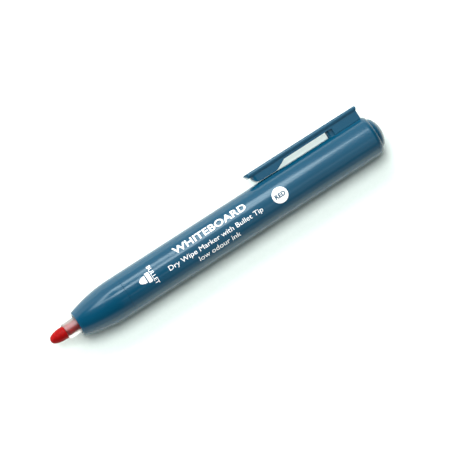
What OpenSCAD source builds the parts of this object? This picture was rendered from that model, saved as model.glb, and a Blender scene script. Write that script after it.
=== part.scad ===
// Retractable whiteboard marker with a push button, a side clip and a valve that
// seals the nib chamber when the nib is drawn in. Drawn with the nib out, ready to write.
// +X runs along the axis towards the button, +Y towards the clip. The origin is on the
// axis, where the nose cone meets the barrel. Lengths are in millimetres.

/* [Barrel] */
// Outside diameter of the barrel
barrel_d = 16; // [15.6:0.1:16.4]
// Length of the barrel behind the nose cone
barrel_l = 113; // [112.5:0.1:115]
// Inside diameter of the barrel
barrel_bore_d = 13.2; // [13.1:0.1:13.6]
// Diameter of the rear mouth, which guides the button
mouth_d = 12.66; // [12.6:0.02:12.8]
// Radius that rounds the rear outer edge
barrel_end_r = 2; // [1.5:0.1:2.2]
// How much thinner the barrel is at its rear end, as moulding draft
barrel_draft = 0.1; // [0.05:0.01:0.15]

/* [Nose] */
// Length of the nose cone that shows in front of the barrel
nose_l = 21.3; // [21:0.1:22]
// Outside diameter of the front rim
nose_tip_d = 10; // [9.8:0.1:10.4]
// Diameter of the hole that the nib comes out of
nose_hole_d = 7.9; // [7.7:0.1:8.1]
// Radius of the curved side of the nose
nose_curve_r = 60.1; // [58:0.1:64]

/* [Nib] */
// Diameter of the bullet nib
nib_d = 5.1; // [4.6:0.1:5.4]
// Length of nib that shows in front of its holder
nib_l = 6.5; // [6.3:0.1:7.2]
// Diameter of the stem that takes ink to the nib
stem_d = 3; // [2.6:0.1:3.2]
// Diameter of the clear nib holder
holder_d = 6.5; // [6.3:0.1:6.6]
// Length of holder that shows in front of the rim
holder_out = 5.4; // [5:0.1:5.6]

/* [Action] */
// Travel of the ink cartridge from writing to drawn in
stroke = 18.2; // [17.8:0.1:18.3]
// Extra push past the writing position that frees the latch
overtravel = 1.2; // [0.8:0.1:1.2]
// Diameter of the push button
button_d = 12.46; // [12.3:0.02:12.5]
// Height of the button above the barrel's end when it is latched in
button_out = 2.9; // [2.6:0.1:3.2]
// Radius of the domed end of the button
button_dome_r = 9.5; // [9:0.5:12]
// Radius between the dome and the side of the button
button_edge_r = 2.5; // [2:0.1:3]
// Outside diameter of the return spring
spring_d = 11.2; // [10.8:0.1:11.4]
// Wire diameter of the return spring
wire_d = 0.7; // [0.6:0.05:0.7]
// Turns in the return spring
spring_turns = 9; // [8:1:10]

/* [Clip] */
// Distance from the barrel's front end to the tip of the clip
clip_front = 61.7; // [60:0.1:63]
// Length of the clip's cap
clip_l = 50.7; // [50:0.1:50.9]
// Width of the clip's cap
clip_w = 6.3; // [6:0.1:6.6]
// Width across the two side webs
web_w = 5.2; // [5:0.1:5.4]
// Rounding of the clip's tip, as seen along the height of the clip
tip_r = 2; // [1.6:0.1:2.2]
// Height of the clip above the barrel, at its front end
clip_h = 5.15; // [4.9:0.05:5.3]
// Height of the gap that paper slides into
gap_h = 2.3; // [2.1:0.1:2.7]

/* [Hidden] */
$fn = 96;

eps = 0.02;            // gap between faces that are pressed or glued together
run = 0.08;            // radial running clearance
barrel_r = barrel_d / 2;
bore_r = barrel_bore_d / 2;
button_r = button_d / 2;
holder_r = holder_d / 2;
edge = 0.15;           // small chamfer on edges that meet at the seam
blue = "#3a6a8c";
ink_red = "#b81020";

// Stations along the axis, from the front rim to the spring
rim_x = -nose_l;
holder_x = rim_x - holder_out;
nib_tip_x = holder_x - nib_l;
lip_l = 1;
chamber_r = 4.35;
chamber_l = 5.2;
seal_x = rim_x + chamber_l;
seal_t = 1.2;
seal_r = 5.45;
housing_x = seal_x + seal_t;
flange_x = rim_x + 13;
housing_end_x = rim_x + 14.2;
housing_bore_r = 3.5;
wiper_x = rim_x + 12.2;
wiper_r = 4.6;
oring_x = rim_x + 9.5;
oring_r = 5.02;
oring_wire_r = 0.42;
seat_t = 1;
spring_x = housing_end_x + seat_t;
spigot_l = 7.7;
spigot_bore_r = 6;
shoulder_x = rim_x + 26;

// Flaps of the valve, open along the holder while the nib is out
flap_hinge_x = rim_x + 5.1;
flap_l = 3.7;
flap_r = 3.85;
flap_t = 0.42;

// Ink cartridge
tube_r = 5.75;
tube_bore_r = 5;
cup_l = 5;
tube_l = 53.5;
plug_l = 3.5;
flange_t = 1;
stem_end_x = shoulder_x + 10;
tube_x = shoulder_x + flange_t;
tube_end_x = tube_x + tube_l;

// Click mechanism
guide_x = rim_x + 100;
guide_flange_t = 2.9;
guide_tube_r = 4.9;
guide_bore_r = 4.1;
guide_end_x = rim_x + 131;
lock_x = rim_x + 112;
rib_bore_r = 3.3;
groove_w = 2.4;
fin_w = 1.6;
fin_r = 4;
core_r = 3.1;
fin_count = 4;
rotor_x = lock_x - 8;
shank_r = 2.4;
shank_x = tube_end_x - 2;

// Push button
apex_x = barrel_l + button_out;
dome_centre_x = apex_x - button_dome_r;
edge_centre_r = button_r - button_edge_r;
edge_x = dome_centre_x + sqrt(pow(button_dome_r - button_edge_r, 2) - pow(edge_centre_r, 2));
dome_half_angle = asin(edge_centre_r / (button_dome_r - button_edge_r));
skirt_x = guide_x + guide_flange_t + overtravel + 0.1;
collar_l = 1.8;
collar_r = bore_r - run;
skirt_bore_r = 5.1;
button_floor_x = edge_x + 0.8;
mouth_x = skirt_x + collar_l + stroke + 0.1;

// Clip, seen from the side: heights are measured from the barrel's surface
cap_lift = 3.1;
tip_h = 4.7;
cap_rear_h = 4.9;
cap_lip = 1.1;
cap_overhang = 1.1;
cap_edge_r = 1;
web_t = 1;
foot_r = 3.2;
foot_gap = 0.05;
foot_l = 7;
foot_slope_l = 4.6;
foot_x = clip_front + 1.9;
root_l = 11.5;
root_end_x = clip_front + clip_l - cap_overhang;
root_x = root_end_x - root_l;
boss_x = root_x - 2.7;
boss_w = 2.8;
cap_under_y = barrel_r + cap_lift;

// ---- Helpers ----

// Turns a half section, radius along x and distance along y, about the marker's axis
module turned() rotate([0, 90, 0]) rotate_extrude() children();

// A round bar on the axis, with a hole when hole_r is given
module bar(from, to, r, hole_r = 0) {
    translate([from, 0, 0]) rotate([0, 90, 0]) difference() {
        cylinder(r = r, h = to - from);
        if (hole_r > 0) translate([0, 0, -1]) cylinder(r = hole_r, h = to - from + 2);
    }
}

// Evenly spaced blocks that reach from the axis to reach_r
module spokes(from, to, width, reach_r)
    for (i = [0:fin_count - 1])
        rotate([i * 360 / fin_count, 0, 0])
            translate([from, -width / 2, 0]) cube([to - from, width, reach_r]);

// Points on an arc
function arc(cx, cy, r, a0, a1, steps) =
    [for (i = [0:steps]) let (a = a0 + (a1 - a0) * i / steps) [cx + r * cos(a), cy + r * sin(a)]];

// ---- Outer shells ----

module barrel() {
    rear_r = barrel_r - barrel_draft / 2;
    round_x = barrel_l - barrel_end_r;
    color(blue) difference() {
        union() {
            turned() {
                polygon([[0, 0], [barrel_r - edge, 0], [barrel_r, edge], [barrel_r, clip_front],
                    [rear_r, round_x], [0, round_x]]);
                square([rear_r - barrel_end_r, barrel_l]);
                translate([rear_r - barrel_end_r, round_x]) circle(r = barrel_end_r);
            }
            clip_boss();
        }
        bar(-1, mouth_x, bore_r);
        bar(mouth_x - 1, barrel_l + 1, mouth_d / 2);
    }
}

// Block on the barrel that the hollow root of the clip snaps over
module clip_boss() {
    boss_end_x = root_end_x - web_t - 0.2;
    height = cap_lift + 0.8;
    translate([boss_x + boss_w / 2, barrel_r - 1, -boss_w / 2])
        cube([boss_end_x - boss_x - boss_w / 2, height, boss_w]);
    translate([boss_x + boss_w / 2, barrel_r - 1, 0])
        rotate([-90, 0, 0]) cylinder(d = boss_w, h = height);
}

module nose_cone() {
    curve_angle = acos(1 - (barrel_r - nose_tip_d / 2) / nose_curve_r);
    curve_l = nose_curve_r * sin(curve_angle);
    color(blue) difference() {
        union() {
            translate([rim_x, 0, 0]) turned()
                polygon(concat([[0, 0]],
                    arc(barrel_r - nose_curve_r, curve_l, nose_curve_r, -curve_angle, 0, 16),
                    [[barrel_r, nose_l - edge], [barrel_r - edge, nose_l], [0, nose_l]]));
            bar(-1, spigot_l, bore_r - eps);
        }
        bar(rim_x - 1, rim_x + chamber_l, nose_hole_d / 2);
        bar(rim_x + lip_l, seal_x, chamber_r);
        bar(seal_x, flange_x, seal_r);
        bar(flange_x, spigot_l + 1, spigot_bore_r);
    }
}

module clip() {
    cap_top_y = barrel_r + clip_h;
    cap_end_x = clip_front + clip_l;
    rear_y = barrel_r + cap_rear_h;
    half = clip_w / 2;
    under_half = web_w / 2 + 0.15;
    color(blue) difference() {
        union() {
            intersection() {
                translate([0, 0, -clip_w]) linear_extrude(2 * clip_w)
                    polygon([[clip_front, barrel_r + tip_h], [clip_front + 0.5, cap_top_y],
                        [cap_end_x - 0.8, rear_y], [cap_end_x - 0.2, rear_y - 0.25],
                        [cap_end_x, rear_y - 0.6], [root_end_x + 0.05, cap_under_y],
                        [clip_front + cap_lip, cap_under_y]]);
                translate([clip_front - 1, 0, 0]) rotate([90, 0, 90]) linear_extrude(clip_l + 2)
                    polygon(concat([[cap_under_y - 1, -under_half], [cap_under_y, -under_half]],
                        arc(cap_top_y - cap_edge_r, -half + cap_edge_r, cap_edge_r, 270, 360, 5),
                        arc(cap_top_y - cap_edge_r, half - cap_edge_r, cap_edge_r, 0, 90, 5),
                        [[cap_under_y, under_half], [cap_under_y - 1, under_half]]));
                tip_plan(clip_front, half, tip_r + 0.5);
            }
            intersection() {
                translate([0, 0, -web_w / 2]) linear_extrude(web_w) clip_side();
                tip_plan(foot_x, web_w / 2 + eps, tip_r);
            }
        }
        translate([0, 0, -web_w / 2 + web_t]) linear_extrude(web_w - 2 * web_t) clip_channel();
        bar(root_x - 1, root_end_x + 1, barrel_r + foot_gap);
    }
}

// Everything behind a rounded tip that starts at x
module tip_plan(x, half, r) rotate([-90, 0, 0]) linear_extrude(2 * barrel_r)
    polygon(concat(arc(x + r, half - r, r, 90, 180, 8), arc(x + r, r - half, r, 180, 270, 8),
        [[x + clip_l + 1, -half], [x + clip_l + 1, half]]));

// Outline of the webs: foot, strip over the gap, and root
module clip_side() {
    floor_y = barrel_r + foot_gap;
    polygon(concat([[foot_x, cap_under_y + 0.6]],
        arc(foot_x + foot_r, floor_y + foot_r, foot_r, 180, 270, 8),
        [[foot_x + foot_r + foot_l, floor_y],
            [foot_x + foot_r + foot_l + foot_slope_l, barrel_r + gap_h],
            [root_x, barrel_r + gap_h], [root_x, barrel_r - 1], [root_end_x, barrel_r - 1],
            [root_end_x, cap_under_y + 0.6]]));
}

// Outline of the hollow between the webs, which is open towards the barrel
module clip_channel() {
    inner_r = foot_r - web_t;
    floor_y = barrel_r + foot_gap + web_t;
    polygon(concat(arc(foot_x + foot_r, floor_y + inner_r, inner_r, 180, 270, 6),
        [[root_x - 6, floor_y], [root_x - 6, barrel_r - 2],
            [root_end_x - web_t, barrel_r - 2], [root_end_x - web_t, floor_y + inner_r]]));
}

// ---- Valve and spring, held in the nose ----

module valve_housing() {
    groove_r = oring_r - oring_wire_r - 0.02;
    color("#2b2d30") difference() {
        union() {
            bar(housing_x, flange_x, seal_r - eps);
            bar(flange_x, housing_end_x, spigot_bore_r - eps);
        }
        bar(housing_x - 1, housing_end_x + 1, housing_bore_r);
        bar(wiper_x, housing_end_x + 1, wiper_r);
        bar(oring_x - 0.5, oring_x + 0.5, seal_r + 1, groove_r);
    }
}

module valve_seal() color("#17181a") bar(seal_x, housing_x, seal_r - eps, flap_r - flap_t);

module housing_o_ring() color("#17181a")
    translate([oring_x, 0, 0]) turned() translate([oring_r, 0]) circle(r = oring_wire_r, $fn = 32);

module holder_wiper() color("#17181a")
    bar(wiper_x, housing_end_x, wiper_r - eps, holder_r + run / 2);

module spring_seat() color("#b9bcc0")
    bar(housing_end_x, spring_x, spigot_bore_r - eps, housing_bore_r + 0.3);

// One half of the split flap: a half tube whose rear edge is the hinge line
module valve_flap() difference() {
    bar(flap_hinge_x - flap_l, flap_hinge_x, flap_r, flap_r - flap_t);
    translate([flap_hinge_x - flap_l - 1, -flap_r - 1, -2 * flap_r])
        cube([flap_l + 2, 2 * flap_r + 2, 2 * flap_r + 0.04]);
}

module valve_flap_upper() color("#202124") valve_flap();

module valve_flap_lower() color("#202124") mirror([0, 0, 1]) valve_flap();

// Round wire wound on a helix, with closed end turns
module return_spring() {
    steps = 14;
    sides = 6;
    wire_r = wire_d / 2;
    mean_r = spring_d / 2 - wire_r;
    length = shoulder_x - spring_x - wire_d - 2 * eps;
    closed = 1;
    pitch = (length - 2 * closed * wire_d) / (spring_turns - 2 * closed);
    last = spring_turns * steps;
    function rise(turn) = turn < closed ? turn * wire_d
        : turn > spring_turns - closed ? length - (spring_turns - turn) * wire_d
        : closed * wire_d + (turn - closed) * pitch;
    function wire_point(i, j) = let (turn = i / steps, a = turn * 360, b = j * 360 / sides,
        r = mean_r + wire_r * cos(b))
        [spring_x + eps + wire_r + rise(turn) + 0.98 * wire_r * sin(b), r * cos(a), r * sin(a)];
    points = [for (i = [0:last], j = [0:sides - 1]) wire_point(i, j)];
    sides_faces = [for (i = [0:last - 1], j = [0:sides - 1]) let (k = (j + 1) % sides)
        [i * sides + j, i * sides + k, (i + 1) * sides + k, (i + 1) * sides + j]];
    ends = [[for (j = [sides - 1:-1:0]) j], [for (j = [0:sides - 1]) last * sides + j]];
    color("#c4c7cc") polyhedron(points, concat(sides_faces, ends), convexity = 10);
}

// ---- Ink cartridge, which slides as one ----

module bullet_nib() {
    nib_r = nib_d / 2;
    tip_l = 5.6;
    color(ink_red) {
        translate([nib_tip_x, 0, 0]) turned() {
            polygon(concat([[0, 0]],
                [for (i = [1:10]) let (a = i * 9) [nib_r * pow(sin(a), 0.92), tip_l * (1 - cos(a))]],
                [[nib_r, nib_l], [0, nib_l]]));
        }
        bar(holder_x - 0.01, stem_end_x, stem_d / 2);
    }
}

module nib_holder() {
    color("#dfe4e6", 0.45) difference() {
        union() {
            bar(holder_x + eps, shoulder_x, holder_r);
            bar(shoulder_x, tube_x, tube_r);
            bar(tube_x, tube_x + cup_l, tube_bore_r - eps);
        }
        bar(holder_x - 1, tube_x + cup_l + 1, stem_d / 2 + eps);
    }
}

module reservoir_tube() color("#e8eaea") bar(tube_x + eps, tube_end_x - eps, tube_r, tube_bore_r);

module ink_filler() color("#c23a44") difference() {
    bar(tube_x + cup_l + eps, tube_end_x - plug_l - eps, tube_bore_r - 0.1);
    bar(tube_x, stem_end_x + 0.1, stem_d / 2 + eps);
}

module cartridge_plug() color("#e8eaea") difference() {
    union() {
        bar(tube_end_x - plug_l, tube_end_x, tube_bore_r - eps);
        bar(tube_end_x, tube_end_x + flange_t, tube_r);
    }
    bar(shank_x - 0.1, tube_end_x + flange_t + 1, shank_r + eps);
}

// ---- Click mechanism ----

module rotary_cam() {
    tooth_l = 2;
    color("#d9d6cc") difference() {
        union() {
            bar(shank_x, rotor_x, shank_r);
            bar(rotor_x, lock_x - 0.1, core_r);
            intersection() {
                spokes(rotor_x + 1, lock_x - 0.1, fin_w, fin_r);
                bar(rotor_x, lock_x, fin_r);
            }
        }
        for (i = [0:fin_count - 1])
            rotate([45 + i * 360 / fin_count, 0, 0])
                translate([lock_x - 0.1, 0, fin_r / 2])
                    rotate([0, 45, 0]) cube([tooth_l, 1.6, tooth_l], center = true);
    }
}

module cam_guide() color("#d9d6cc") difference() {
    union() {
        bar(guide_x, guide_x + guide_flange_t, bore_r - eps);
        bar(guide_x, guide_end_x, guide_tube_r);
    }
    bar(guide_x - 1, lock_x, guide_bore_r);
    bar(guide_x - 1, guide_end_x + 1, rib_bore_r);
    intersection() {
        spokes(lock_x - 1, guide_end_x + 1, groove_w, guide_bore_r + 1);
        bar(lock_x - 1, guide_end_x + 1, guide_bore_r);
    }
}

// Crown that turns the cam, pressed into the button
module plunger() {
    spline_l = 4;
    color("#d9d6cc") difference() {
        union() {
            bar(lock_x + 0.1, button_floor_x - eps, core_r);
            intersection() {
                spokes(lock_x + 1.5, lock_x + 1.5 + spline_l, fin_w, fin_r);
                bar(lock_x, lock_x + 2 + spline_l, fin_r);
            }
        }
        bar(lock_x, lock_x + 6, 1.5);
    }
}

module push_button() {
    color(blue) difference() {
        union() {
            turned() {
                translate([0, skirt_x]) square([button_r, edge_x - skirt_x]);
                translate([0, edge_x - 0.01]) square([edge_centre_r, 0.5]);
                translate([edge_centre_r, edge_x]) circle(r = button_edge_r);
                intersection() {
                    translate([0, dome_centre_x]) circle(r = button_dome_r, $fn = 240);
                    polygon([[0, dome_centre_x], [0, apex_x + 1],
                        [(apex_x + 1 - dome_centre_x) * tan(dome_half_angle), apex_x + 1]]);
                }
            }
            bar(skirt_x, skirt_x + collar_l, collar_r);
        }
        bar(skirt_x - 1, button_floor_x, skirt_bore_r);
    }
}

barrel();
nose_cone();
valve_housing();
valve_seal();
housing_o_ring();
holder_wiper();
spring_seat();
cam_guide();
return_spring();
clip();
valve_flap_upper();
valve_flap_lower();
bullet_nib();
nib_holder();
reservoir_tube();
ink_filler();
cartridge_plug();
rotary_cam();
plunger();
push_button();
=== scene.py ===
"""A retractable whiteboard marker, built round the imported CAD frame.

The CAD nodes that show are replaced by finely rounded pieces. These keep to their node's box
within 0.05 mm, but for the rear ends of the barrel (0.27 mm short) and of the clip (0.56 mm
short) and for the spring's coil (0.14 mm larger each way in Z). Lengths in this script are
millimetres, and turn into metres where a mesh is made.
"""

import math

import bmesh
import bpy
from mathutils import Matrix, Vector


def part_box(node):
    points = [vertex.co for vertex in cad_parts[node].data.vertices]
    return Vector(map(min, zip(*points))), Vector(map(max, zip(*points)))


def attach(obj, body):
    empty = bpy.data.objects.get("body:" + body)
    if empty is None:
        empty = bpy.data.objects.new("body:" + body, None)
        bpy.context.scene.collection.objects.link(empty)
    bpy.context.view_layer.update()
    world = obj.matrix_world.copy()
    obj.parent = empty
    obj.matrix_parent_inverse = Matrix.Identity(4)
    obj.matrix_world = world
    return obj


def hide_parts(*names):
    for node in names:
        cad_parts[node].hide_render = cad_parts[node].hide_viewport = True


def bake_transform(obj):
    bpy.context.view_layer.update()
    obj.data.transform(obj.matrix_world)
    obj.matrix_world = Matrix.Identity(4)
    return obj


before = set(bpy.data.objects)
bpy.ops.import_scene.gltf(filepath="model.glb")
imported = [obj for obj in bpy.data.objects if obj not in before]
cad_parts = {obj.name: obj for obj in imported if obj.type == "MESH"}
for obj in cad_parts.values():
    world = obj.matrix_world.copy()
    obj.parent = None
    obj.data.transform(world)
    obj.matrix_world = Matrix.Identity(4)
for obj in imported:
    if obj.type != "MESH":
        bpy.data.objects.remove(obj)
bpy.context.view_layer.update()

MM = 0.001
AROUND = 160          # faces round a turned piece
FLOOR_SIZE = 6000


def low(node):
    """Lowest corner of a CAD node, in millimetres."""
    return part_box(node)[0] / MM


def high(node):
    """Highest corner of a CAD node, in millimetres."""
    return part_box(node)[1] / MM


# Places and sizes that come from the frame
BARREL_R = -low("barrel").z
RIM_X = low("nose_cone").x
BARREL_END_X = high("barrel").x
SPIGOT_END_X = high("nose_cone").x
SEAL_X = low("valve_seal").x
CAP_TOP_Y = high("clip").y
CLIP_TIP_X = low("clip").x
CLIP_END_X = high("clip").x
BUTTON_APEX_X = high("push_button").x
SKIRT_X = low("push_button").x
NIB_TIP_X = low("bullet_nib").x
STEM_END_X = high("bullet_nib").x
HOLDER_X = low("nib_holder").x
HOLDER_END_X = high("nib_holder").x
TUBE_X = low("reservoir_tube").x
SPRING_X = low("return_spring").x
SPRING_END_X = high("return_spring").x
FLOOR_Z = low("barrel").z
BOSS_TOP_Y = high("barrel").y


# ---- Mesh helpers ----

def arc(centre_a, centre_b, radius, start, end, steps):
    """Points on an arc in a plane, from start to end degrees."""
    angles = [math.radians(start + (end - start) * i / steps) for i in range(steps + 1)]
    return [(centre_a + radius * math.cos(a), centre_b + radius * math.sin(a)) for a in angles]


def rounded(corners, steps=6):
    """Closed outline through corners (a, b, radius), each rounded to its own radius."""
    outline = []
    for i, (a, b, radius) in enumerate(corners):
        here = Vector((a, b))
        if radius == 0:
            outline.append((a, b))
            continue
        back = (Vector(corners[i - 1][:2]) - here).normalized()
        ahead = (Vector(corners[(i + 1) % len(corners)][:2]) - here).normalized()
        half = math.acos(max(-1, min(1, back.dot(ahead)))) / 2
        centre = here + (back + ahead).normalized() * radius / math.sin(half)
        start = here + back * radius / math.tan(half) - centre
        finish = here + ahead * radius / math.tan(half) - centre
        first = math.atan2(start.y, start.x)
        turn = (math.atan2(finish.y, finish.x) - first + math.pi) % math.tau - math.pi
        for k in range(steps + 1):
            angle = first + turn * k / steps
            outline.append((centre.x + radius * math.cos(angle), centre.y + radius * math.sin(angle)))
    return outline


def make_object(name, vertices, faces):
    """A mesh object from points in millimetres, with its normals outwards."""
    mesh = bpy.data.meshes.new(name)
    mesh.from_pydata([Vector(v) * MM for v in vertices], [], faces)
    work = bmesh.new()
    work.from_mesh(mesh)
    bmesh.ops.remove_doubles(work, verts=work.verts, dist=1e-7)
    bmesh.ops.recalc_face_normals(work, faces=work.faces)
    work.to_mesh(mesh)
    work.free()
    piece = bpy.data.objects.new(name, mesh)
    bpy.context.scene.collection.objects.link(piece)
    return piece


def lathe(name, outline, around=AROUND):
    """Turns a closed outline of (x, radius) about the X axis."""
    vertices, rings, faces = [], [], []
    for x, radius in outline:
        count = 1 if radius < 1e-6 else around
        rings.append([len(vertices) + k for k in range(count)])
        for k in range(count):
            angle = math.tau * k / around
            vertices.append((x, radius * math.cos(angle), radius * math.sin(angle)))
    for i, ring in enumerate(rings):
        after = rings[(i + 1) % len(rings)]
        if len(ring) == len(after) == 1:
            continue
        for k in range(around):
            corners = [ring[k % len(ring)], ring[(k + 1) % len(ring)],
                       after[(k + 1) % len(after)], after[k % len(after)]]
            faces.append(list(dict.fromkeys(corners)))
    return make_object(name, vertices, faces)


def prism(name, outline, start, end, place):
    """Extrudes a closed outline (a, b) from start to end; place(a, b, c) gives the point."""
    count = len(outline)
    vertices = [place(a, b, c) for c in (start, end) for a, b in outline]
    faces = [list(range(count)), list(range(count, 2 * count))]
    for i in range(count):
        j = (i + 1) % count
        faces.append([i, j, j + count, i + count])
    return make_object(name, vertices, faces)


# Ways to place an outline (a, b) that is extruded over c

def along_z(a, b, c):
    return (a, b, c)


def along_x(a, b, c):
    return (c, a, b)


def along_y(a, b, c):
    return (a, c, b)


def bake(piece):
    """Applies a piece's modifiers to its mesh."""
    evaluated = piece.evaluated_get(bpy.context.evaluated_depsgraph_get())
    mesh = bpy.data.meshes.new_from_object(evaluated)
    piece.modifiers.clear()
    piece.data = mesh
    return piece


def combine(piece, other, operation):
    """Joins, cuts or intersects a piece with another, which goes."""
    modifier = piece.modifiers.new("combine", "BOOLEAN")
    modifier.operation = operation
    modifier.solver = "EXACT"
    modifier.object = other
    bake(piece)
    bpy.data.objects.remove(other)
    return piece


def soften(piece, width, segments=3, angle=40):
    """Rounds the sharp edges of a piece."""
    modifier = piece.modifiers.new("soften", "BEVEL")
    modifier.width = width * MM
    modifier.segments = segments
    modifier.limit_method = "ANGLE"
    modifier.angle_limit = math.radians(angle)
    modifier.use_clamp_overlap = True
    return bake(piece)


def shade(piece, weighted, angle=32):
    """Smooth shading, with edges over the angle left sharp and flats kept flat."""
    mesh = piece.data
    mesh.polygons.foreach_set("use_smooth", [True] * len(mesh.polygons))
    mesh.set_sharp_from_angle(angle=math.radians(angle))
    if weighted:
        modifier = piece.modifiers.new("flats", "WEIGHTED_NORMAL")
        modifier.keep_sharp = True
        bake(piece)


def finish_piece(piece, body, slot, material, *nodes):
    """Gives a piece its material and body, and hides the CAD nodes it stands for; slot is not used."""
    shade(piece, weighted=body is not None)
    piece.data.materials.clear()
    piece.data.materials.append(material)
    if nodes:
        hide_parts(*nodes)
    if body:
        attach(piece, body)


# ---- Material helpers ----

NOISE_SPAN = (0.3, 0.7)      # nearly all of the noise lies between these


class Nodes:
    """A new material's node tree, with short ways to add what these materials share."""

    def __init__(self, name):
        self.material = bpy.data.materials.new(name)
        self.material.use_nodes = True
        self.tree = self.material.node_tree
        self.tree.nodes.clear()
        self.shader = self.add("ShaderNodeBsdfPrincipled")
        output = self.add("ShaderNodeOutputMaterial")
        self.link(self.shader.outputs["BSDF"], output.inputs["Surface"])
        self.place = self.add("ShaderNodeTexCoord").outputs["Object"]

    def add(self, kind, **settings):
        node = self.tree.nodes.new(kind)
        for key, value in settings.items():
            setattr(node, key, value)
        return node

    def link(self, start, end):
        self.tree.links.new(start, end)

    def stretched(self, scale):
        """Object coordinates, scaled by a factor for each axis."""
        mapping = self.add("ShaderNodeMapping")
        mapping.inputs["Scale"].default_value = scale
        self.link(self.place, mapping.inputs["Vector"])
        return mapping.outputs["Vector"]

    def noise(self, scale, detail=3.0, stretch=(1, 1, 1)):
        """Noise with features 1 / scale metres across, divided by stretch."""
        node = self.add("ShaderNodeTexNoise")
        node.inputs["Scale"].default_value = scale
        node.inputs["Detail"].default_value = detail
        self.link(self.stretched(stretch), node.inputs["Vector"])
        return node.outputs["Fac"]

    def ramp(self, value, start, end):
        """A smooth change from the colour start to the colour end."""
        node = self.add("ShaderNodeValToRGB")
        node.color_ramp.interpolation = "EASE"
        for element, position, colour in zip(node.color_ramp.elements, NOISE_SPAN, (start, end)):
            element.position = position
            element.color = (*colour, 1)
        self.link(value, node.inputs["Fac"])
        return node.outputs["Color"]

    def between(self, value, lowest, highest):
        """A number that goes from lowest to highest with the value."""
        node = self.add("ShaderNodeMapRange")
        node.inputs["From Min"].default_value = NOISE_SPAN[0]
        node.inputs["From Max"].default_value = NOISE_SPAN[1]
        node.inputs["To Min"].default_value = lowest
        node.inputs["To Max"].default_value = highest
        self.link(value, node.inputs["Value"])
        return node.outputs["Result"]

    def bump(self, height, distance, before=None):
        """Surface relief of the given depth in millimetres, on top of earlier relief."""
        node = self.add("ShaderNodeBump")
        node.inputs["Distance"].default_value = distance * MM
        node.inputs["Strength"].default_value = 1.0
        self.link(height, node.inputs["Height"])
        if before:
            self.link(before, node.inputs["Normal"])
        return node.outputs["Normal"]

    def set(self, **values):
        """Sets or links the shader's sockets; underscores stand for spaces."""
        for key, value in values.items():
            socket = self.shader.inputs[key.replace("_", " ")]
            if isinstance(value, bpy.types.NodeSocket):
                self.link(value, socket)
            else:
                socket.default_value = value
        return self.material


def moulded_plastic(name, dark, light, gloss):
    """Moulded plastic: slow clouding of the colour, faint flow lines and a fine skin."""
    nodes = Nodes(name)
    clouds = nodes.noise(90, 2, (0.35, 1, 1))
    flow = nodes.noise(500, 3, (0.06, 1, 1))
    skin = nodes.noise(2600, 2)
    relief = nodes.bump(nodes.noise(260, 2, (0.5, 1, 1)), 0.006)
    relief = nodes.bump(flow, 0.0025, relief)
    relief = nodes.bump(skin, 0.0008, relief)
    return nodes.set(
        Base_Color=nodes.ramp(clouds, dark, light),
        Roughness=nodes.between(flow, gloss * 0.85, gloss * 1.2),
        IOR=1.5,
        Normal=relief,
    )


def clear_plastic():
    """Clear styrene with faint flow lines, given a pink-grey tint that is painted light."""
    nodes = Nodes("clear_plastic")
    flow = nodes.noise(420, 2, (0.08, 1, 1))
    return nodes.set(
        # Painted light: the pink-grey tint stands in for red light from the nib scattered in the holder,
        # and for shade on the floor seen through it.
        Base_Color=nodes.ramp(flow, (0.9, 0.79, 0.77), (0.94, 0.84, 0.82)),
        Roughness=nodes.between(flow, 0.3, 0.4),
        IOR=1.45,
        Transmission_Weight=1.0,
        Normal=nodes.bump(flow, 0.004),
    )


def nib_fibre():
    """Bonded fibre, wet with ink: fine strands along the nib over a mottled red."""
    nodes = Nodes("nib_fibre")
    strands = nodes.noise(7000, 3, (0.12, 1, 1))
    blotches = nodes.noise(700, 3)
    relief = nodes.bump(strands, 0.03)
    relief = nodes.bump(blotches, 0.05, relief)
    return nodes.set(
        Base_Color=nodes.ramp(blotches, (0.21, 0.0008, 0.001), (0.29, 0.002, 0.002)),
        Roughness=nodes.between(strands, 0.42, 0.6),
        Specular_IOR_Level=0.12,
        Normal=relief,
    )


def soaked_filler():
    """The wad that holds the ink: coarse fibres lengthways in a thin film."""
    nodes = Nodes("filler_fibre")
    strands = nodes.noise(3200, 4, (0.05, 1, 1))
    return nodes.set(
        Base_Color=nodes.ramp(strands, (0.28, 0.01, 0.02), (0.62, 0.06, 0.09)),
        Roughness=nodes.between(strands, 0.45, 0.7),
        Normal=nodes.bump(strands, 0.06),
    )


def rubber():
    """Smooth black elastomer with a dull bloom."""
    nodes = Nodes("seal_rubber")
    bloom = nodes.noise(420, 4)
    return nodes.set(
        Base_Color=nodes.ramp(bloom, (0.012, 0.012, 0.014), (0.03, 0.03, 0.033)),
        Roughness=nodes.between(bloom, 0.5, 0.75),
        Normal=nodes.bump(nodes.noise(2400, 3), 0.006),
    )


def steel():
    """Drawn spring steel, with the die's fine lines."""
    nodes = Nodes("spring_steel")
    lines = nodes.noise(3000, 4, (1, 0.3, 0.3))
    return nodes.set(
        Base_Color=nodes.ramp(lines, (0.52, 0.53, 0.55), (0.72, 0.73, 0.75)),
        Metallic=1.0,
        Roughness=nodes.between(lines, 0.18, 0.34),
        Normal=nodes.bump(lines, 0.003),
    )


def printed_ink():
    """Pad-printed white ink, slightly uneven."""
    nodes = Nodes("print_white")
    grain = nodes.noise(2200, 3)
    return nodes.set(
        Base_Color=nodes.ramp(grain, (0.86, 0.87, 0.87), (0.97, 0.97, 0.97)),
        Roughness=nodes.between(grain, 0.3, 0.45),
        Normal=nodes.bump(grain, 0.002),
    )


def dark_ink():
    """Dark printed ink on the white disc."""
    nodes = Nodes("print_dark")
    grain = nodes.noise(2200, 3)
    return nodes.set(
        Base_Color=nodes.ramp(grain, (0.01, 0.05, 0.09), (0.016, 0.07, 0.12)),
        Roughness=nodes.between(grain, 0.4, 0.5),
        Normal=nodes.bump(grain, 0.002),
    )


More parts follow.
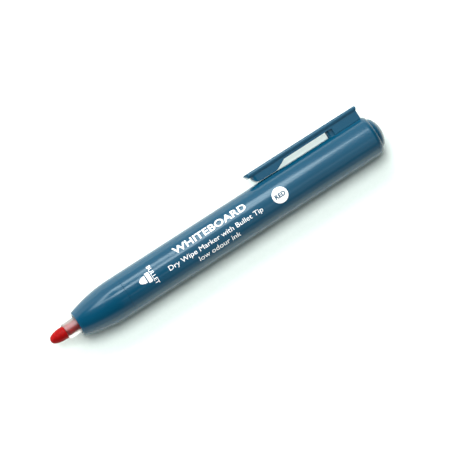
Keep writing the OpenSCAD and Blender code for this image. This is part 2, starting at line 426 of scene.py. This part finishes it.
def floor_paper():
    """Plain pale paper."""
    nodes = Nodes("floor_paper")
    grain = nodes.noise(900, 3)
    return nodes.set(
        Base_Color=nodes.ramp(grain, (0.82, 0.91, 0.865), (0.84, 0.93, 0.885)),
        Roughness=0.9,
        Specular_IOR_Level=0.1,
    )


BLUE = moulded_plastic("body_plastic", (0.0004, 0.043, 0.086), (0.0008, 0.048, 0.094), 0.17)
BLACK = moulded_plastic("housing_plastic", (0.02, 0.021, 0.023), (0.035, 0.036, 0.04), 0.42)
MILKY = moulded_plastic("cartridge_plastic", (0.74, 0.75, 0.74), (0.82, 0.83, 0.82), 0.38)
ACETAL = moulded_plastic("cam_plastic", (0.66, 0.63, 0.54), (0.74, 0.71, 0.62), 0.4)
CLEAR = clear_plastic()
FIBRE = nib_fibre()
FILLER = soaked_filler()
RUBBER = rubber()
STEEL = steel()
WHITE_INK = printed_ink()
DARK_INK = dark_ink()


# ---- Outer shells ----

CLIP_DRAFT_R = 7.95      # barrel radius at the rear, after the moulding draft
BORE_R = 6.6
MOUTH_R = 6.33           # the narrower hole at the rear that the button slides in
MOUTH_X = 103.0
SEAM_ROUND = 0.13
BARREL_END_ROUND = 2
END_ARC_STOP = 30        # degrees at which the rear rounding meets the flat rear face
END_FACE_SET = 0.27      # how far that face lies in front of the CAD barrel's end
BOSS_HALF = 1.4
BOSS_X = 97.1
BOSS_END_X = 110.1
BOSS_ROUND = 0.25


def make_barrel():
    outline = rounded([(0, BORE_R, 0), (0, BARREL_R, SEAM_ROUND), (CLIP_TIP_X, BARREL_R, 0)])
    round_x = BARREL_END_X - BARREL_END_ROUND
    outline += arc(round_x, CLIP_DRAFT_R - BARREL_END_ROUND, BARREL_END_ROUND, 90, END_ARC_STOP, 12)
    outline += [(BARREL_END_X - END_FACE_SET, MOUTH_R), (MOUTH_X, MOUTH_R), (MOUTH_X, BORE_R)]
    shell = lathe("barrel_shell", outline)
    nose = arc(BOSS_X + BOSS_HALF, 0, BOSS_HALF, 270, 90, 16)
    boss = prism("boss", nose + [(BOSS_END_X, BOSS_HALF), (BOSS_END_X, -BOSS_HALF)],
                 BARREL_R - 1, BOSS_TOP_Y, along_y)
    soften(boss, BOSS_ROUND)
    combine(shell, boss, "UNION")
    finish_piece(shell, "barrel", "body_plastic", BLUE, "barrel")


NOSE_TIP_R = 5
NOSE_CURVE_R = 60.1
NOSE_HOLE_R = 3.95
CHAMBER_R = 4.35
SEAL_BORE_R = 5.45
SPIGOT_R = 6.58
SPIGOT_BORE_R = 6
FLANGE_X = RIM_X + 13


def make_nose():
    swing = math.degrees(math.acos(1 - (BARREL_R - NOSE_TIP_R) / NOSE_CURVE_R))
    curve_x = RIM_X + NOSE_CURVE_R * math.sin(math.radians(swing))
    side = arc(0, BARREL_R - NOSE_CURVE_R, NOSE_CURVE_R, 90 + swing, 90, 40)
    side = [(curve_x + x, r) for x, r in side][2:]
    inside = [
        (0, BARREL_R, SEAM_ROUND), (0, SPIGOT_R, 0), (SPIGOT_END_X, SPIGOT_R, 0.3),
        (SPIGOT_END_X, SPIGOT_BORE_R, 0.2), (FLANGE_X, SPIGOT_BORE_R, 0), (FLANGE_X, SEAL_BORE_R, 0),
        (SEAL_X, SEAL_BORE_R, 0), (SEAL_X, CHAMBER_R, 0), (RIM_X + 1, CHAMBER_R, 0),
        (RIM_X + 0.8, NOSE_HOLE_R, 0), (RIM_X, NOSE_HOLE_R, 0.12), (RIM_X, NOSE_TIP_R, 0.35),
    ]
    first, last = side[0], side[-1]
    outline = rounded([(*first, 0), (*last, 0)] + inside)
    outline = [outline[0]] + side[1:-1] + outline[1:]
    finish_piece(lathe("nose_shell", outline), "barrel", "body_plastic", BLUE, "nose_cone")


DOME_R = 9.5
BUTTON_EDGE_R = 2.5
BUTTON_R = 6.23
COLLAR_R = 6.52
COLLAR_L = 1.8
SKIRT_BORE_R = 5.1
CAP_FLOOR_T = 0.8


def make_button():
    dome_x = BUTTON_APEX_X - DOME_R
    edge_r = BUTTON_R - BUTTON_EDGE_R
    edge_x = dome_x + math.sqrt((DOME_R - BUTTON_EDGE_R) ** 2 - edge_r ** 2)
    tilt = math.degrees(math.asin(edge_r / (DOME_R - BUTTON_EDGE_R)))
    floor_x = edge_x + CAP_FLOOR_T
    outline = arc(dome_x, 0, DOME_R, 0, tilt, 14)
    outline[0] = (BUTTON_APEX_X, 0)
    outline += arc(edge_x, edge_r, BUTTON_EDGE_R, tilt, 90, 12)[1:]
    collar_x = SKIRT_X + COLLAR_L
    outline += rounded([
        (collar_x, BUTTON_R, 0), (collar_x, COLLAR_R, 0.15), (SKIRT_X, COLLAR_R, 0.15),
        (SKIRT_X, SKIRT_BORE_R, 0.15), (floor_x, SKIRT_BORE_R, 0), (floor_x, 0, 0),
    ], 4)
    button = lathe("button_cap", outline)
    finish_piece(button, "cartridge", "body_plastic", BLUE, "push_button")


CAP_HALF = 3.15
CAP_UNDER_HALF = 2.75    # the cap flares from this half width underneath
CAP_FLARE_H = 0.75
CAP_CROWN = 0.12         # how much lower the cap's top is at its sides
CAP_CROWN_R = 14
CAP_ROUGH_HALF = 5       # the cap's half width before it is cut to shape
CAP_TIP_OUT = 0.05       # makes up for about half of what rounding takes off the tip
CAP_UNDER_Y = BARREL_R + 3.1
WEB_HALF = 2.6
WEB_T = 1
TIP_R = 2
PLAN_MARGIN = 0.01       # keeps the tip's plan off the sides of what it cuts
FOOT_X = CLIP_TIP_X + 1.9
FOOT_R = 3.2
FOOT_FLAT = 7
SLOPE_L = 4.6
FOOT_Y = BARREL_R + 0.05
STRIP_Y = BARREL_R + 2.3
ROOT_END_X = CLIP_END_X - 1.1
ROOT_X = ROOT_END_X - 11.5


def round_tip(piece, x, half, radius):
    """Rounds the tip of a piece of the clip, as seen along the clip's height."""
    plan = rounded([
        (x, -half, radius), (x, half, radius), (CLIP_END_X + 5, half, 0), (CLIP_END_X + 5, -half, 0),
    ], 12)
    return combine(piece, prism("plan", plan, BARREL_R - 3, CAP_TOP_Y + 2, along_y), "INTERSECT")


def make_clip_cap():
    side = rounded([
        (CLIP_TIP_X + 1.15, CAP_UNDER_Y, 0.2), (CLIP_TIP_X - CAP_TIP_OUT, CAP_TOP_Y - 0.42, 0.25),
        (CLIP_TIP_X + 0.45, CAP_TOP_Y, 0.6), (CLIP_END_X, CAP_TOP_Y - 0.25, 0.75),
        (ROOT_END_X + 0.05, CAP_UNDER_Y, 0.5),
    ])
    across = rounded([
        (CAP_UNDER_Y, -CAP_UNDER_HALF, 0.15), (CAP_UNDER_Y + CAP_FLARE_H, -CAP_HALF, 0.3),
        (CAP_TOP_Y - CAP_CROWN, -CAP_HALF, 0.8), (CAP_TOP_Y, 0, CAP_CROWN_R),
        (CAP_TOP_Y - CAP_CROWN, CAP_HALF, 0.8), (CAP_UNDER_Y + CAP_FLARE_H, CAP_HALF, 0.3),
        (CAP_UNDER_Y, CAP_UNDER_HALF, 0.15),
    ])
    cap = prism("clip_arm", side, -CAP_ROUGH_HALF, CAP_ROUGH_HALF, along_z)
    combine(cap, prism("across", across, CLIP_TIP_X - 2, CLIP_END_X + 2, along_x), "INTERSECT")
    round_tip(cap, CLIP_TIP_X - CAP_TIP_OUT, CAP_HALF + PLAN_MARGIN, TIP_R + 0.5)
    return soften(cap, 0.16, angle=50)


def make_clip_webs():
    top = CAP_UNDER_Y + 0.4
    outside = rounded([
        (FOOT_X, top, 0), (FOOT_X, FOOT_Y, FOOT_R), (FOOT_X + FOOT_R + FOOT_FLAT, FOOT_Y, 0.7),
        (FOOT_X + FOOT_R + FOOT_FLAT + SLOPE_L, STRIP_Y, 1.2), (ROOT_X, STRIP_Y, 0.4),
        (ROOT_X, BARREL_R - 1, 0), (ROOT_END_X, BARREL_R - 1, 0), (ROOT_END_X, top, 0),
    ], 10)
    inner_y = FOOT_Y + WEB_T
    inside = rounded([
        (FOOT_X + WEB_T, top + 1, 0), (FOOT_X + WEB_T, inner_y, FOOT_R - WEB_T), (ROOT_X - 6, inner_y, 0),
        (ROOT_X - 6, BARREL_R - 2, 0), (ROOT_END_X - WEB_T, BARREL_R - 2, 0),
        (ROOT_END_X - WEB_T, top + 1, 0),
    ], 10)
    inner_half = WEB_HALF - WEB_T
    webs = prism("webs", outside, -WEB_HALF, WEB_HALF, along_z)
    combine(webs, prism("channel", inside, -inner_half, inner_half, along_z), "DIFFERENCE")
    rod = lathe("rod", [(ROOT_X - 1, 0), (ROOT_X - 1, FOOT_Y), (CLIP_END_X, FOOT_Y), (CLIP_END_X, 0)])
    combine(webs, rod, "DIFFERENCE")
    round_tip(webs, FOOT_X, WEB_HALF + PLAN_MARGIN, TIP_R)
    return soften(webs, 0.18, angle=50)


def make_clip():
    clip = combine(make_clip_cap(), make_clip_webs(), "UNION")
    clip.name = "clip_arm"
    finish_piece(clip, "clip", "body_plastic", BLUE, "clip")


# ---- Nib, holder and spring ----

NIB_R = 2.55
NIB_TIP_L = 5.4
NIB_FULLNESS = 0.8       # 1 is an ellipse, less is blunter
NIB_STEPS = 24
NIB_AROUND = 96
STEM_R = 1.5
NIB_BASE_X = HOLDER_X - 0.02


def make_nib():
    outline = [(NIB_TIP_X, 0)]
    for i in range(1, NIB_STEPS + 1):
        swing = math.pi / 2 * i / NIB_STEPS
        x = NIB_TIP_X + NIB_TIP_L * (1 - math.cos(swing))
        outline.append((x, NIB_R * math.sin(swing) ** NIB_FULLNESS))
    outline += rounded([
        (NIB_BASE_X, NIB_R, 0.1), (NIB_BASE_X, STEM_R, 0), (STEM_END_X, STEM_R, 0.2), (STEM_END_X, 0, 0),
    ], 4)
    finish_piece(lathe("nib", outline, NIB_AROUND), "cartridge", "nib_fibre", FIBRE, "bullet_nib")


HOLDER_R = 3.25
WETTED_R = STEM_R - 0.01      # the ink leaves no air between stem and holder
CUP_R = 4.98
FLANGE_R = 5.75
GAP = 0.02


def make_holder():
    outline = rounded([
        (HOLDER_X, WETTED_R, 0), (HOLDER_X, HOLDER_R, 0.3), (TUBE_X - 1 - GAP, HOLDER_R, 0.3),
        (TUBE_X - 1 - GAP, FLANGE_R, 0.2), (TUBE_X - GAP, FLANGE_R, 0.2), (TUBE_X - GAP, CUP_R, 0),
        (HOLDER_END_X, CUP_R, 0.2), (HOLDER_END_X, WETTED_R, 0),
    ], 5)
    finish_piece(lathe("holder", outline), "cartridge", "clear_plastic", CLEAR, "nib_holder")


SPRING_R = 5.25
WIRE_R = 0.35
TURNS = 9
CLOSED_TURNS = 1
TURN_STEPS = 48
WIRE_SIDES = 12
WIRE_SLIM = 0.98         # keeps closed turns from touching


def make_spring():
    """Round wire on a helix with closed end turns."""
    steps, sides = TURN_STEPS, WIRE_SIDES
    length = SPRING_END_X - SPRING_X - 2 * WIRE_R
    wire = 2 * WIRE_R
    pitch = (length - 2 * CLOSED_TURNS * wire) / (TURNS - 2 * CLOSED_TURNS)
    vertices, faces = [], []
    for i in range(TURNS * steps + 1):
        turn = i / steps
        if turn < CLOSED_TURNS:
            rise = turn * wire
        elif turn > TURNS - CLOSED_TURNS:
            rise = length - (TURNS - turn) * wire
        else:
            rise = CLOSED_TURNS * wire + (turn - CLOSED_TURNS) * pitch
        for j in range(sides):
            bend = math.tau * j / sides
            radius = SPRING_R + WIRE_R * math.cos(bend)
            x = SPRING_X + WIRE_R + rise + WIRE_SLIM * WIRE_R * math.sin(bend)
            vertices.append((x, radius * math.cos(turn * math.tau), radius * math.sin(turn * math.tau)))
    for i in range(TURNS * steps):
        for j in range(sides):
            k = (j + 1) % sides
            faces.append([i * sides + j, i * sides + k, (i + 1) * sides + k, (i + 1) * sides + j])
    faces += [list(range(sides)), [TURNS * steps * sides + j for j in range(sides)]]
    spring = make_object("coil_spring", vertices, faces)
    finish_piece(spring, None, "spring_steel", STEEL, "return_spring")
    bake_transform(spring)


# ---- Print on the barrel ----

INK_T = 0.03
INK_LIFT = 0.004         # keeps the film off the shell's flat facets
PRINT_STEP = 0.3
TITLE_X = 39.35
DISC_X = 68.8
DISC_Y = -0.4
DISC_R = 3.2
TIP_WORD_X = 12.1
TIP_ICON_X = 8.8
TIP_ICON_Y = 0.3
ICON_R = 1.45
ICON_STRETCH = 1.9


def flat_text(words, height, bold=0.0, spacing=1.0):
    """Flat letters as a bmesh with the middle of their box at the origin, in millimetres."""
    curve = bpy.data.curves.new("letters", "FONT")
    curve.body = words
    curve.size = 1
    curve.offset = bold
    curve.space_character = spacing
    curve.resolution_u = 6
    maker = bpy.data.objects.new("letters", curve)
    bpy.context.scene.collection.objects.link(maker)
    mesh = bpy.data.meshes.new_from_object(maker.evaluated_get(bpy.context.evaluated_depsgraph_get()))
    bpy.data.objects.remove(maker)
    sheet = bmesh.new()
    sheet.from_mesh(mesh)
    bmesh.ops.remove_doubles(sheet, verts=sheet.verts, dist=1e-5)
    xs = [v.co.x for v in sheet.verts]
    ys = [v.co.y for v in sheet.verts]
    middle = Vector(((min(xs) + max(xs)) / 2, (min(ys) + max(ys)) / 2, 0))
    for v in sheet.verts:
        v.co = (v.co - middle) * height / (max(ys) - min(ys))
    return sheet


def flat_outline(*outlines):
    """Closed outlines (x, y) as flat faces in a bmesh."""
    sheet = bmesh.new()
    for outline in outlines:
        sheet.faces.new([sheet.verts.new((x, y, 0)) for x, y in outline])
    return sheet


def wrap(name, sheet, x, y, base_r, material, squeeze=1.0, turn=0.0):
    """Lays flat shapes on the barrel at (x, y) as seen from above, as a thin film of ink."""
    bmesh.ops.transform(sheet, verts=sheet.verts, matrix=Matrix.Rotation(turn, 4, "Z"))
    bmesh.ops.transform(sheet, verts=sheet.verts, matrix=Matrix.Diagonal((squeeze, 1, 1, 1)))
    bmesh.ops.triangulate(sheet, faces=sheet.faces)
    ys = [v.co.y for v in sheet.verts]
    cuts = int((max(ys) - min(ys)) / PRINT_STEP)
    for i in range(1, cuts + 1):
        level = min(ys) + (max(ys) - min(ys)) * i / (cuts + 1)
        bmesh.ops.bisect_plane(sheet, geom=sheet.verts[:] + sheet.edges[:] + sheet.faces[:],
                               dist=1e-5, plane_co=(0, level, 0), plane_no=(0, 1, 0))
    bmesh.ops.triangulate(sheet, faces=sheet.faces)
    top = bmesh.ops.extrude_face_region(sheet, geom=sheet.faces[:])
    raised = {v for v in top["geom"] if isinstance(v, bmesh.types.BMVert)}
    start = math.asin(y / BARREL_R)
    for v in sheet.verts:
        angle = start + v.co.y / BARREL_R
        radius = base_r + (INK_T if v in raised else 0)
        v.co = Vector((x + v.co.x, radius * math.sin(angle), radius * math.cos(angle))) * MM
    bmesh.ops.recalc_face_normals(sheet, faces=sheet.faces)
    mesh = bpy.data.meshes.new(name)
    sheet.to_mesh(mesh)
    sheet.free()
    piece = bpy.data.objects.new(name, mesh)
    bpy.context.scene.collection.objects.link(piece)
    mesh.materials.append(material)
    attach(piece, "barrel")


def make_print():
    surface = BARREL_R + INK_LIFT
    title = flat_text("WHITEBOARD", 3.0, 0.022, 1.03)
    wrap("print_title", title, TITLE_X, 3.33, surface, WHITE_INK, squeeze=1.2)
    kind = flat_text("Dry Wipe Marker with Bullet Tip", 2.5)
    wrap("print_kind", kind, TITLE_X, -1.45, surface, WHITE_INK, squeeze=1.14)
    note = flat_text("low odour ink", 2.1)
    wrap("print_note", note, TITLE_X, -4.33, surface, WHITE_INK, squeeze=1.06)
    tip_word = flat_text("BULLET", 1.6, spacing=1.05)
    wrap("print_tip_word", tip_word, TIP_WORD_X, TIP_ICON_Y, surface, WHITE_INK, turn=-math.pi / 2)
    nib = [(0, -ICON_R), (0, ICON_R)] + arc(0, 0, ICON_R, 90, 270, 16)[1:-1]
    nib = [(x * ICON_STRETCH, y) for x, y in nib]
    flange = rounded([(0.5, -2, 0.2), (2.1, -2, 0.2), (2.1, 2, 0.2), (0.5, 2, 0.2)])
    wrap("print_tip_icon", flat_outline(nib, flange), TIP_ICON_X, TIP_ICON_Y, surface, WHITE_INK)
    disc = arc(0, 0, DISC_R, 0, 360, 64)[:-1]
    wrap("print_disc", flat_outline(disc), DISC_X, DISC_Y, surface, WHITE_INK)
    colour_word = flat_text("RED", 1.85, 0.045, 1.05)
    wrap("print_colour_word", colour_word, DISC_X, DISC_Y, surface + INK_T, DARK_INK, squeeze=0.98)


# ---- Stage, lights and camera ----

def make_floor():
    half = FLOOR_SIZE / 2
    floor = make_object("floor", [(-half, -half, FLOOR_Z), (half, -half, FLOOR_Z), (half, half, FLOOR_Z),
                                  (-half, half, FLOOR_Z)], [[0, 1, 2, 3]])
    floor.data.materials.append(floor_paper())


def panel(name, place, aim, width, length, power, spin=0.0, glossy=False, clear=True):
    """A soft light at place, aimed at a point; glossy and clear: seen in gloss and through clear parts."""
    data = bpy.data.lights.new(name, "AREA")
    data.shape = "RECTANGLE"
    data.size = width * MM
    data.size_y = length * MM
    data.energy = power
    light = bpy.data.objects.new(name, data)
    bpy.context.scene.collection.objects.link(light)
    facing = (Vector(aim) - Vector(place)).to_track_quat("-Z", "Y").to_matrix().to_4x4()
    light.matrix_world = Matrix.Translation(Vector(place) * MM) @ facing @ Matrix.Rotation(spin, 4, "Z")
    light.visible_glossy = glossy
    light.visible_transmission = clear
    return light


HIGH_KEY_POWER = 12
LOW_KEY_POWER = 11.5
WALL_COLOUR = (0.92, 1.0, 0.97)
CEILING_COLOUR = (0.05, 0.055, 0.06)
WALL_LEAN = 0.1          # how much higher the walls' light reaches towards the clip
WALL_SLANT = (-0.8, 0.1, 0)      # which way the walls get brighter
WALL_EDGE = 0.36         # where the walls begin to fade, and where only the ceiling is left
CEILING_EDGE = 0.62
STRIP_RADIANCE = 5.5
STRIP_HEIGHT = 600
STRIP_COLOUR = (0.78, 0.95, 1.0)


def strip(name, start, end, width, brightness):
    """A light that only shows in reflections, between two points of a plane above the marker."""
    start, end = Vector((*start, STRIP_HEIGHT)), Vector((*end, STRIP_HEIGHT))
    middle = (start + end) / 2
    length = (end - start).length
    spin = math.atan2(end.y - start.y, end.x - start.x)
    power = STRIP_RADIANCE * brightness * 4 * width * length * MM * MM
    below = middle - Vector((0, 0, 1))
    light = panel(name, middle, below, length, width, power, spin, glossy=True, clear=False)
    light.data.color = STRIP_COLOUR
    light.visible_diffuse = False


def make_strips():
    """A loop of strips round the softbox's edge, and fainter ones for the rest of the room."""
    strip("tip_near", (-175, 360), (10, 245), 60, 1.1)
    strip("tip_far", (-175, 360), (18, 821), 120, 1.1)
    strip("side_near", (10, 245), (126, 245), 100, 1.5)
    strip("side_far", (18, 821), (135, 800), 260, 1.45)
    strip("rear_near", (126, 245), (165, 430), 90, 1.5)
    strip("rear_far", (135, 800), (165, 510), 120, 1.4)
    strip("rear", (150, 465), (200, 515), 190, 1.75)
    strip("low", (75, -300), (210, -200), 70, 0.28)
    strip("glow", (110, -280), (440, -280), 1240, 0.12)
    strip("glow_edge", (60, 60), (110, 60), 260, 0.11)


def make_world():
    """White walls low down, higher and brighter on the clip's side, and a dim ceiling."""
    world = bpy.data.worlds.new("studio")
    world.use_nodes = True
    tree = world.node_tree
    direction = tree.nodes.new("ShaderNodeTexCoord").outputs["Generated"]
    split = tree.nodes.new("ShaderNodeSeparateXYZ")
    lean = tree.nodes.new("ShaderNodeMath")
    strength = tree.nodes.new("ShaderNodeMath")
    lean.operation = "MULTIPLY_ADD"
    lean.inputs[1].default_value = -WALL_LEAN
    slant = tree.nodes.new("ShaderNodeVectorMath")
    slant.operation = "DOT_PRODUCT"
    slant.inputs[1].default_value = WALL_SLANT
    strength.inputs[1].default_value = 1
    ramp = tree.nodes.new("ShaderNodeValToRGB")
    ramp.color_ramp.interpolation = "EASE"
    walls, ceiling = ramp.color_ramp.elements
    walls.position = WALL_EDGE
    walls.color = (*WALL_COLOUR, 1)
    ceiling.position = CEILING_EDGE
    ceiling.color = (*CEILING_COLOUR, 1)
    tree.links.new(direction, split.inputs["Vector"])
    tree.links.new(split.outputs["Y"], lean.inputs[0])
    tree.links.new(split.outputs["Z"], lean.inputs[2])
    tree.links.new(lean.outputs["Value"], ramp.inputs["Fac"])
    tree.links.new(direction, slant.inputs[0])
    tree.links.new(slant.outputs["Value"], strength.inputs[0])
    tree.links.new(strength.outputs["Value"], tree.nodes["Background"].inputs["Strength"])
    tree.links.new(ramp.outputs["Color"], tree.nodes["Background"].inputs["Color"])
    bpy.context.scene.world = world


def make_lights():
    panel("high_key", (0, 330, 1000), MARKER_MIDDLE, 800, 480, HIGH_KEY_POWER)
    panel("low_key", (0, 800, 600), MARKER_MIDDLE, 700, 500, LOW_KEY_POWER)
    make_strips()
    make_world()
    bpy.context.scene.view_settings.view_transform = "Standard"


CAMERA_PLACE = (-212, 0, 2000)
CAMERA_AIM = (46.1, 1.33, 0)
AXIS_TILT = 32.76        # how far the marker's axis is turned in the picture, in degrees
VIEW_WIDTH = 169.8       # what the picture's width spans at the marker
SENSOR_WIDTH = 36
NEAREST = 0.01           # in metres, as is FARTHEST
FARTHEST = 20
MARKER_MIDDLE = (45, 0, 0)


def make_camera():
    place, aim = Vector(CAMERA_PLACE), Vector(CAMERA_AIM)
    forward = (aim - place).normalized()
    along = (Vector((1, 0, 0)) - forward * forward.x).normalized()
    across = along.cross(forward)
    tilt = math.radians(AXIS_TILT)
    right = along * math.cos(tilt) - across * math.sin(tilt)
    up = along * math.sin(tilt) + across * math.cos(tilt)
    turn = Matrix((right, up, -forward)).transposed().to_4x4()
    data = bpy.data.cameras.new("camera")
    data.sensor_width = SENSOR_WIDTH
    data.lens = SENSOR_WIDTH * (aim - place).length / VIEW_WIDTH
    data.clip_start = NEAREST
    data.clip_end = FARTHEST
    camera = bpy.data.objects.new("camera", data)
    camera.matrix_world = Matrix.Translation(place * MM) @ turn
    bpy.context.scene.collection.objects.link(camera)
    bpy.context.scene.camera = camera


# CAD nodes that keep their shape and body. The valve flaps turn as rigid pieces, and cut into their
# neighbours as they do.
INNER = {
    "valve_housing": BLACK, "valve_seal": RUBBER, "housing_o_ring": RUBBER, "holder_wiper": RUBBER,
    "valve_flap_upper": RUBBER, "valve_flap_lower": RUBBER, "spring_seat": STEEL,
    "reservoir_tube": MILKY, "cartridge_plug": MILKY, "ink_filler": FILLER,
    "cam_guide": ACETAL, "rotary_cam": ACETAL, "plunger": ACETAL,
}


def dress_inner_nodes():
    for name, material in INNER.items():
        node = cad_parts[name]
        node.data.materials.clear()
        node.data.materials.append(material)


make_camera()
make_lights()
make_floor()
make_barrel()
make_nose()
make_button()
make_clip()
make_nib()
make_holder()
make_spring()
make_print()
dress_inner_nodes()
